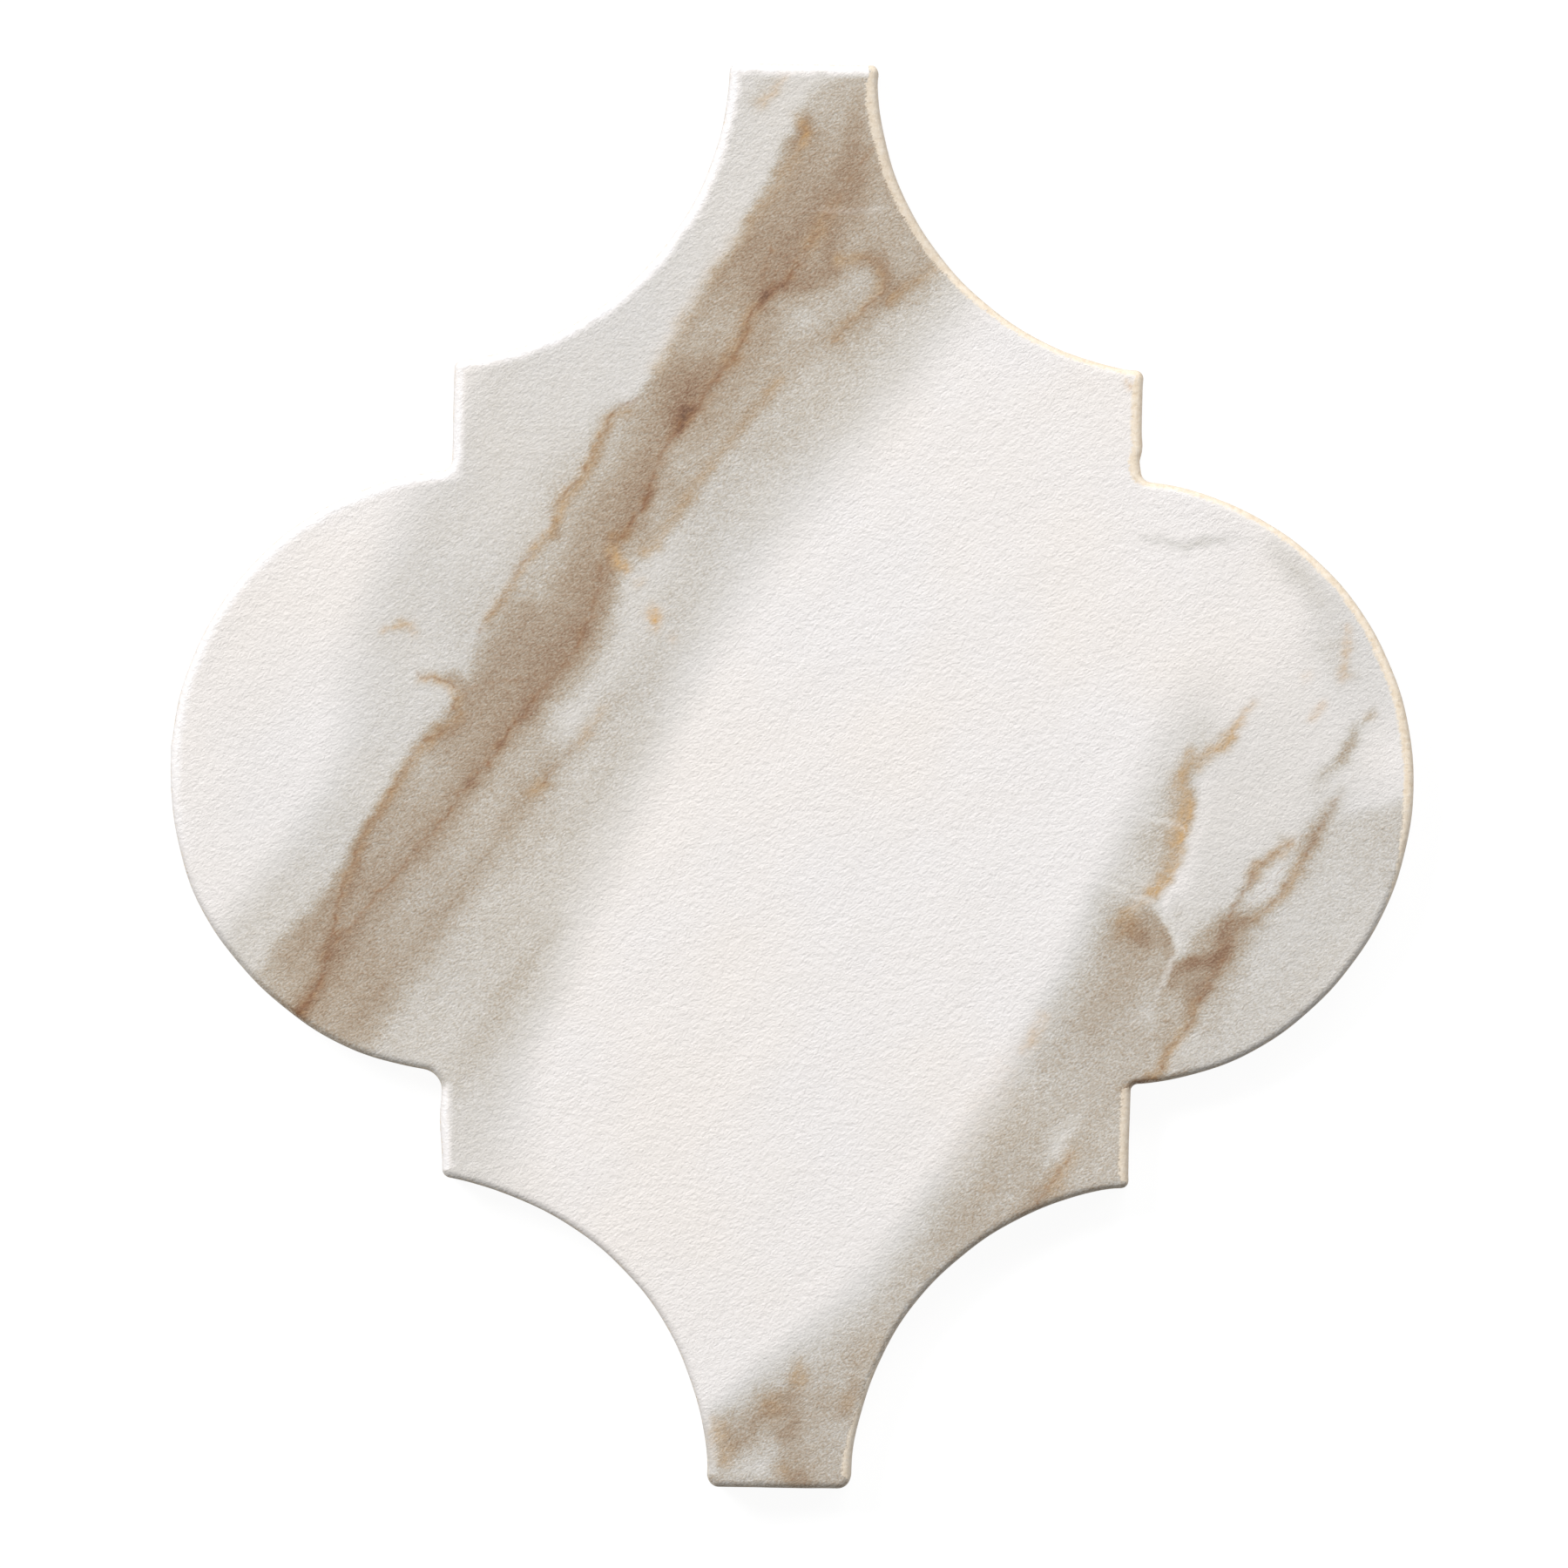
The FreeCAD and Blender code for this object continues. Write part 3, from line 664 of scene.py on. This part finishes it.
# Brown: thin threads, drawn as a line of their own width. Columns: strength and half width in points
THREADS = [
    [(1001, 170, .25, 3), (988, 188, .3, 3), (970, 213, .35, 3), (958, 236, .4, 4), (942, 261, .45, 4),
     (930, 282, .5, 4), (917, 305, .6, 4), (899, 325, .7, 4), (879, 341, 1.0, 5), (863, 358, .6, 4),
     (856, 379, .6, 4), (853, 399, .6, 4), (838, 415, .7, 5), (822, 430, .5, 5), (804, 462, .7, 6),
     (795, 474, .8, 5), (780, 486, 1.0, 6), (772, 503, .5, 4), (757, 527, .35, 4), (745, 556, .8, 4),
     (742, 574, .9, 4), (731, 594, .7, 4), (716, 615, .6, 4), (704, 620, .5, 4), (703, 632, .4, 4),
     (696, 646, .5, 4), (688, 664, .5, 4), (681, 694, .5, 4), (672, 726, .5, 4), (657, 750, .5, 4),
     (640, 770, .5, 3), (625, 788, .55, 3), (604, 812, .65, 3), (587, 834, .8, 3.5), (576, 856, .9, 3.5),
     (555, 878, .8, 3), (540, 898, .7, 3), (511, 936, .6, 3), (491, 960, .6, 3), (470, 983, .6, 3),
     (450, 1010, .6, 3), (426, 1036, .55, 3), (408, 1056, .6, 3), (382, 1086, .6, 4)],
    [(476, 766, .1, 2), (482, 778, .4, 2.5), (502, 778, .4, 2.5), (517, 781, .5, 3), (527, 798, .5, 2.5),
     (520, 810, .4, 2.5), (526, 830, .4, 3), (505, 845, .5, 4), (491, 846, .5, 4), (479, 857, .4, 3),
     (458, 895, .4, 3), (444, 916, .4, 3), (429, 936, .4, 3), (417, 957, .5, 3), (405, 992, .5, 3),
     (385, 1036, .5, 3), (383, 1066, .8, 4), (379, 1086, .8, 4), (372, 1112, .7, 4), (362, 1135, .8, 4),
     (349, 1155, .9, 5), (338, 1170, .9, 5)],
    [(886, 284, .4, 3), (879, 305, .4, 3), (872, 330, .2, 3)],
    [(734, 459, .3, 3), (710, 465, .4, 3), (701, 480, .4, 3), (678, 527, .4, 3), (651, 568, .4, 3),
     (631, 585, .3, 3)],
    [(637, 600, .3, 3), (602, 641, .35, 3), (578, 685, .3, 3), (552, 723, .3, 3)],
    [(1538, 914, .2, 4), (1521, 939, .3, 5), (1503, 969, .4, 4), (1486, 1006, .45, 3),
     (1459, 1038, .5, 2.5), (1442, 1052, .5, 3), (1424, 1058, .5, 4), (1408, 1085, .4, 5),
     (1396, 1120, .35, 5), (1382, 1142, .5, 4), (1369, 1157, .55, 3.5), (1368, 1174, .5, 3),
     (1359, 1187, .4, 3), (1340, 1206, .4, 3), (1334, 1224, .5, 3.5), (1322, 1238, .5, 4)],
    [(1350, 1109, .1, 4), (1362, 1103, .15, 4), (1380, 1102, .15, 4), (1398, 1097, .1, 4)],
    [(1483, 965, .2, 3), (1471, 977, .25, 4), (1456, 986, .25, 4), (1445, 996, .5, 5),
     (1433, 1014, .35, 4), (1421, 1033, .35, 3), (1411, 1050, .4, 4)],
    [(1016, 292, .25, 3), (1019, 330, .45, 4), (991, 358, .3, 3), (958, 389, .25, 3)],
    [(535, 789, .25, 2.5), (593, 778, .3, 2.5), (623, 772, .3, 2.5)],
    [(620, 901, .35, 3), (643, 875, .2, 3), (684, 828, .15, 3)],
    [(1228, 1326, .35, 3), (1218, 1346, .4, 3), (1192, 1379, .4, 4)],
    [(449, 1125, .2, 3), (429, 1145, .2, 3)],
]
PALE = [
    [(1322, 1036, .3, 3), (1340, 1058, .3, 3), (1351, 1080, .4, 3), (1349, 1096, .4, 3),
     (1338, 1124, .4, 3), (1328, 1142, .2, 3)],
    [(1320, 1160, .1, 3), (1300, 1176, .15, 3)],
    [(1306, 934, .15, 3), (1334, 941, .5, 3), (1354, 950, .3, 3)], [(942, 241, .1, 2), (1011, 242, .2, 2)],
    [(1270, 1012, .2, 3), (1300, 1028, .4, 3), (1318, 1036, .3, 3)],
    [(1226, 1300, .2, 3), (1208, 1326, .2, 3)],
]


THREAD_REACH = 0.004       # a place further from a thread than this isn't touched by it


def nearest_of(routes):
    """Of several threads, the distance to the nearest one, its strength and its half width in metres."""
    best = np.tile([[1.0], [0.0], [0.001]], len(place))
    for route in routes:
        away, (strength, half) = follow(route, THREAD_REACH)
        nearer = np.abs(away) < np.abs(best[0])
        best = np.where(nearer, [away, strength, half * PHOTO_SCALE], best)
    return best


thread = nearest_of(THREADS)
pale = nearest_of(PALE)


def keep(name, values, elsewhere=0.0):
    """Puts a value for each place of the glaze into a named attribute, and one value everywhere else."""
    whole_tile = np.full(len(points), elsewhere, np.float32)
    whole_tile[glazed] = values
    mesh.attributes.new(name, "FLOAT", "POINT").data.foreach_set("value", whole_tile)


# The ink stops short of the edge by a margin that differs from side to side, and the cream body shows
# there. It is widest on edges that face right, less so towards the foot, and dies away where an edge turns
# down. On the arris of edges that face up and left, towards the key lamp, the ink is worn thin and the tone
# is lifted to near white: worn glaze, and a painted highlight of that lamp.
EDGE_ZONE = 0.005          # all this happens within this width of the edge
MARGIN_RIGHT = 0.0016
MARGIN_RIGHT_RISE = 0.002  # more of it for each metre up the tile
MARGIN_TOP = 0.0006
MARGIN_FOOT = 0.0002
MARGIN_FALLS = 20          # how fast it dies away where an edge turns down, as a power
FACES_RIGHT = 0.02         # an edge whose outward direction has more +X than this faces right
WORN_LIT_WIDTH = 0.0015
WORN_LIT_SOFT = 0.0005         # half the width over which the wear and the painted highlight fade out
# near white of the worn ink and of the painted highlight on the arris that faces the key lamp
WORN_LIT_TONE = -0.12
FOOT_BELOW = -0.085        # the left edge of the foot is half as worn, and half as brightly painted
FAR_IN = 5.0               # millimetres, for all of the face further in
FAR_OFF = 10.0             # millimetres, where no thread is near
close = depth(*place.T) < EDGE_ZONE
away = np.hypot(place[close, None, 0] - outline[:, 0], place[close, None, 1] - outline[:, 1])
nearest = away.argmin(1)
away = away.min(1)
out_x, out_y = outline[nearest, 2:].T
up = outline[nearest, 1]
falls = np.where(out_y > 0, 2, MARGIN_FALLS)
margin = np.maximum(out_x, 0) ** falls * (MARGIN_RIGHT + MARGIN_RIGHT_RISE * up)
margin += np.maximum(out_y, 0) ** 2 * (out_x > FACES_RIGHT) * MARGIN_TOP
margin += np.minimum(out_y, 0) ** 2 * MARGIN_FOOT
inked = np.full(len(place), FAR_IN)
inked[close] = (away - margin) * 1000
ragged = away + (drawn_at - place)[close, 1]
# Worn ink and painted highlight: the arris of edges facing up and left, towards the key lamp, goes pale
worn_and_lit = np.minimum(out_x, 0) ** 2 + np.maximum(out_y, 0) ** 2 * (out_x < FACES_RIGHT)
worn_and_lit *= np.clip(1 + 3 * out_y, 0, 1) * np.where(up > FOOT_BELOW, 1, 0.5) * fade((WORN_LIT_WIDTH - ragged) / WORN_LIT_SOFT)
tone[close] += (WORN_LIT_TONE - tone[close]) * worn_and_lit

keep("inked", inked, -FAR_IN)
keep("tone", tone)
keep("gold", gold)
keep("thread", thread[0] * 1000, FAR_OFF)
keep("thread_strength", thread[1])
keep("thread_width", thread[2] * 1000, 1.0)
keep("pale", pale[0] * 1000, FAR_OFF)
keep("pale_strength", pale[1])


# Glaze and body
# Matt glaze with a fine leathery grain, fired onto a cream porcelain body that stays bare on the sides and
# the back. The ink lies in the glaze as tiny dots.
TAUPE_STOPS = [             # tone, and the colour from 0 to 255
    # below 0: paler than the ground, for thin ink and for the worn, painted-highlight arris
    (-0.14, (248, 245, 245)), (0.00, (239, 234, 231)), (0.17, (221, 217, 213)), (0.33, (208, 203, 196)),
    (0.49, (195, 187, 176)), (0.65, (184, 171, 155)), (0.81, (173, 155, 135)), (0.97, (161, 138, 116)),
    (1.13, (149, 121, 98)), (1.30, (136, 104, 82)), (1.70, (104, 76, 60)),
]
TONE_LOW = TAUPE_STOPS[0][0]
TONE_SPAN = TAUPE_STOPS[-1][0] - TONE_LOW
OCHRE = (208, 168, 114)
THREAD_TAN = (178, 146, 112)
THREAD_BROWN = (134, 94, 66)
PALE_WHITE = (236, 233, 229)
BUMP_HEIGHT = 0.00014
GLAZE_SHEEN = 0.35
BODY_STOPS = [(0.30, (225, 206, 181)), (0.50, (240, 225, 204)), (0.72, (248, 237, 222))]


def linear(colour):
    """A colour given from 0 to 255 as the shader takes it: the sRGB curve undone."""
    share = np.asarray(colour) / 255
    share = np.where(share > 0.04045, ((share + 0.055) / 1.055) ** 2.4, share / 12.92)
    return (*share.tolist(), 1.0)


def emptied(owner):
    """The node tree of a material or world, with nothing in it."""
    owner.use_nodes = True
    owner.node_tree.nodes.clear()
    return owner.node_tree


def finished(kind, shader):
    """Ends the tree of a material or world with the shader as its surface."""
    output = tree.nodes.new("ShaderNodeOutput" + kind)
    tree.links.new(shader, output.inputs["Surface"])


def node(kind, *inputs, give=0, **settings):
    """Adds a node, sets it, feeds its inputs in order (number, colour or output) and gives one output."""
    new = tree.nodes.new("ShaderNode" + kind)
    for name, value in settings.items():
        setattr(new, name, value)
    for i, value in enumerate(inputs):
        if isinstance(value, bpy.types.NodeSocket):
            tree.links.new(value, new.inputs[i])
        elif value is not None:
            new.inputs[i].default_value = value
    return new.outputs[give]


def attribute(name):
    """The number that the mesh keeps at each point under this name."""
    return node("Attribute", attribute_name=name, give="Fac")


def sums(kind, a, b=None, c=None, clamp=False):
    """One step of arithmetic on numbers or outputs, kept between 0 and 1 if clamp is set."""
    return node("Math", a, b, c, operation=kind, use_clamp=clamp)


def added(first, *others):
    """The sum of several numbers or outputs."""
    for other in others:
        first = sums("ADD", first, other)
    return first


def rest(share):
    """What the share leaves of one."""
    return sums("SUBTRACT", 1.0, share)


def blend(share, a, b, way="MIX"):
    """One colour passing into another; the colour mix node has its colours at inputs 6 and 7."""
    return node("Mix", share, None, None, None, None, None, a, b, give=2, data_type="RGBA", blend_type=way)


def ramp(share, stops):
    """A colour ramp with the given stops, each a position and a colour from 0 to 255."""
    out = node("ValToRGB", share)
    elements = out.node.color_ramp.elements
    while len(elements) < len(stops):
        elements.new(0.5)
    for element, (position, colour) in zip(elements, stops, strict=True):
        element.position = position
        element.color = linear(colour)
    return out


def step_up(value, low, high):
    """0 below low, 1 above high and a smooth curve between."""
    return node("MapRange", value, low, high, 0.0, 1.0, interpolation_type="SMOOTHSTEP")


def cloud(where, size, detail=3.0, rough=0.55, give="Fac"):
    """Noise with features of about the given size in metres."""
    return node("TexNoise", where, None, 1 / size, detail, rough, give=give)


def centred(noise, gain):
    """Noise about zero: one half taken off, times a gain."""
    return sums("MULTIPLY", sums("SUBTRACT", noise, 0.5), gain)


def stretched(where, degrees, length):
    """The places for a pattern that is longer in one heading than across it."""
    turn = (0.0, 0.0, math.radians(degrees))
    return node("Mapping", where, None, turn, (length, 1.0, 1.0), vector_type="TEXTURE")


porcelain = bpy.data.materials.new("glazed_porcelain")
tree = emptied(porcelain)
here = node("TexCoord", give="Object")
along_bands = stretched(here, 51, 3.0)
grain_way = stretched(here, 35, 1.5)

streaks = cloud(along_bands, 0.0060, 4.0, 0.6)
mottle = cloud(here, 0.0035, 4.0, 0.65)
dust = cloud(here, 0.0013, 2.0, 0.5)
grains = cloud(grain_way, 0.0008, 2.0, 0.6)
speck = cloud(grain_way, 0.00030, 2.0, 0.6)
drift = cloud(here, 0.030, 2.0, 0.5)

tone_here = attribute("tone")
loose = sums("MULTIPLY_ADD", step_up(tone_here, 0.08, 0.48), 0.52, 0.12)
uneven = added(centred(streaks, 0.40), centred(mottle, 0.38), centred(dust, 0.45), centred(speck, 1.7))
tone_full = sums("MULTIPLY_ADD", uneven, loose, sums("MULTIPLY", tone_here, 1.08))
tone_full = sums("DIVIDE", sums("SUBTRACT", tone_full, TONE_LOW), TONE_SPAN, clamp=True)
marble = ramp(tone_full, [((stop - TONE_LOW) / TONE_SPAN, colour) for stop, colour in TAUPE_STOPS])

gold_here = sums("MULTIPLY", attribute("gold"), added(centred(mottle, 1.6), 0.75), clamp=True)
gold_here = sums("MULTIPLY", gold_here, added(centred(grains, 2.4), 0.95), clamp=True)
marble = blend(gold_here, marble, linear(OCHRE))

wiggle = added(centred(cloud(here, 0.0022, 2.0), 0.9), centred(speck, 0.5))
thread_off = sums("ABSOLUTE", added(attribute("thread"), wiggle))
thread_off = sums("DIVIDE", thread_off, attribute("thread_width"))
patchy = sums("MULTIPLY", step_up(cloud(here, 0.0022, 3.0), 0.30, 0.64), attribute("thread_strength"))
halo = sums("MULTIPLY", rest(step_up(thread_off, 0.2, 2.8)), patchy)
halo = sums("MULTIPLY", halo, added(centred(grains, 3.4), 0.55), clamp=True)
marble = blend(halo, marble, linear(THREAD_TAN))
heart = sums("MULTIPLY", rest(step_up(thread_off, 0.0, 1.1)), patchy)
heart = sums("MULTIPLY", heart, added(centred(grains, 3.0), 0.85), clamp=True)
marble = blend(heart, marble, linear(THREAD_BROWN))

pale_off = sums("ABSOLUTE", added(attribute("pale"), wiggle))
pale_here = sums("MULTIPLY", rest(step_up(pale_off, 0.0, 0.9)), attribute("pale_strength"))
marble = blend(pale_here, marble, linear(PALE_WHITE))

tint = ramp(drift, [(0.35, (255, 254, 252)), (0.65, (253, 254, 255))])
marble = blend(1.0, marble, tint, "MULTIPLY")

inked_here = added(attribute("inked"), centred(cloud(here, 0.0016, 3.0), 0.8), centred(speck, 1.3))
ink = step_up(inked_here, -0.28, 0.28)
haze = sums("MULTIPLY", step_up(tone_here, 0.15, 0.60), 0.32)
haze = sums("MULTIPLY", haze, step_up(attribute("inked"), -2.5, -1.5))
ink = sums("MAXIMUM", ink, haze)
grit = cloud(here, 0.0011, 4.0, 0.7)
body = ramp(grit, BODY_STOPS)
colour = blend(ink, body, marble)

rough = added(centred(speck, 0.20), 0.50, sums("MULTIPLY", rest(ink), 0.18), centred(drift, 0.08))

pebble = node("TexVoronoi", grain_way, None, 1 / 0.00048, give="Distance", feature="SMOOTH_F1")
relief = added(sums("MULTIPLY", speck, 0.8), sums("MULTIPLY", pebble, -0.5), sums("MULTIPLY", dust, 0.9))
bare_relief = sums("MULTIPLY", grit, 1.2)
height = node("Mix", ink, None, bare_relief, relief, data_type="FLOAT")
bump = node("Bump", 1.0, BUMP_HEIGHT, None, height)

shader = node("BsdfPrincipled").node
tree.links.new(colour, shader.inputs["Base Color"])
tree.links.new(rough, shader.inputs["Roughness"])
tree.links.new(bump, shader.inputs["Normal"])
shader.inputs["Specular IOR Level"].default_value = GLAZE_SHEEN
finished("Material", shader.outputs[0])

mesh.materials.append(porcelain)
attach(tile, "root")
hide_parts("tile")


# Studio
# A plain white floor, large soft lamps at the upper left and at the top, a weak low one at the upper right
# and an even pale sky. The floor sends a little light back up to the sides of the tile.
WHITE = (1.0, 1.0, 1.0, 1.0)
FLOOR_HALF = 1.5
FLOOR_DROP = 0.0001        # the floor lies this far under the back
FLOOR_GREY = (0.13, 0.13, 0.13, 1.0)
FLOOR_GLOW = 0.10
SKY_GLOW = 0.25
FLOOR_SEEN = 0.83          # glow that only the camera, mirrors and glass see
SKY_SEEN = 0.75
FLOOR_CORNERS = [(-1, -1), (1, -1), (1, 1), (-1, 1)]
floor_mesh = bpy.data.meshes.new("studio_floor")
floor_mesh.from_pydata([(x * FLOOR_HALF, y * FLOOR_HALF, 0) for x, y in FLOOR_CORNERS], [], [(0, 1, 2, 3)])
floor = stand("studio_floor", floor_mesh)
floor.location.z = -FLOOR_DROP
floor_paint = bpy.data.materials.new("studio_floor")
tree = emptied(floor_paint)
light_path = node("LightPath").node
seen = sums("MAXIMUM", light_path.outputs["Is Camera Ray"], light_path.outputs["Is Glossy Ray"])
seen = sums("MAXIMUM", seen, light_path.outputs["Is Transmission Ray"])
glow = node("Emission", WHITE, sums("MULTIPLY_ADD", seen, FLOOR_SEEN, FLOOR_GLOW))
matt = node("BsdfDiffuse", FLOOR_GREY)
finished("Material", node("AddShader", glow, matt))
floor_mesh.materials.append(floor_paint)

world = bpy.data.worlds.new("studio")
bpy.context.scene.world = world
tree = emptied(world)
light_path = node("LightPath").node
seen = sums("MAXIMUM", light_path.outputs["Is Camera Ray"], light_path.outputs["Is Transmission Ray"])
sky = node("Background", WHITE, sums("MULTIPLY_ADD", seen, SKY_SEEN, SKY_GLOW))
finished("World", sky)

LAMPS = [                   # name, place, diameter, power
    ("key_lamp", (-3.2, 2.8, 3.8), 2.4, 270.0),
    ("top_lamp", (0.9, 2.9, 2.6), 1.9, 43.0),
    ("right_lamp", (2.2, 1.7, 0.9), 1.2, 23.0),
]
for name, spot, diameter, power in LAMPS:
    lamp_data = bpy.data.lights.new(name, "AREA")
    lamp_data.shape = "DISK"
    lamp_data.size = diameter
    lamp_data.energy = power
    lamp = stand(name, lamp_data)
    lamp.location = spot
    lamp.rotation_euler = (-lamp.location).to_track_quat("-Z", "Y").to_euler()

# Camera: far off and looking straight down, from a little to the right
FRAME_WIDTH = PHOTO_POINTS * PHOTO_SCALE
FILM_WIDTH = 36.0          # millimetres
CAMERA_FAR = 2.4
CAMERA_LEAN = math.radians(1.2)
camera_data = bpy.data.cameras.new("camera")
camera_data.sensor_width = FILM_WIDTH
camera_data.lens = FILM_WIDTH * CAMERA_FAR / FRAME_WIDTH
camera = stand("camera", camera_data)
target = Vector((*from_photo([PHOTO_POINTS / 2, PHOTO_POINTS / 2]), THICKNESS))
away = Vector((math.sin(CAMERA_LEAN), 0, math.cos(CAMERA_LEAN)))
upright = Vector((-math.sin(PHOTO_TURN), math.cos(PHOTO_TURN), 0))
right = upright.cross(away).normalized()
turned = Matrix((right, away.cross(right), away)).transposed().to_4x4()
camera.matrix_world = Matrix.Translation(target + CAMERA_FAR * away) @ turned
bpy.context.scene.camera = camera
bpy.context.scene.view_settings.view_transform = "Standard"

bpy.context.view_layer.update()
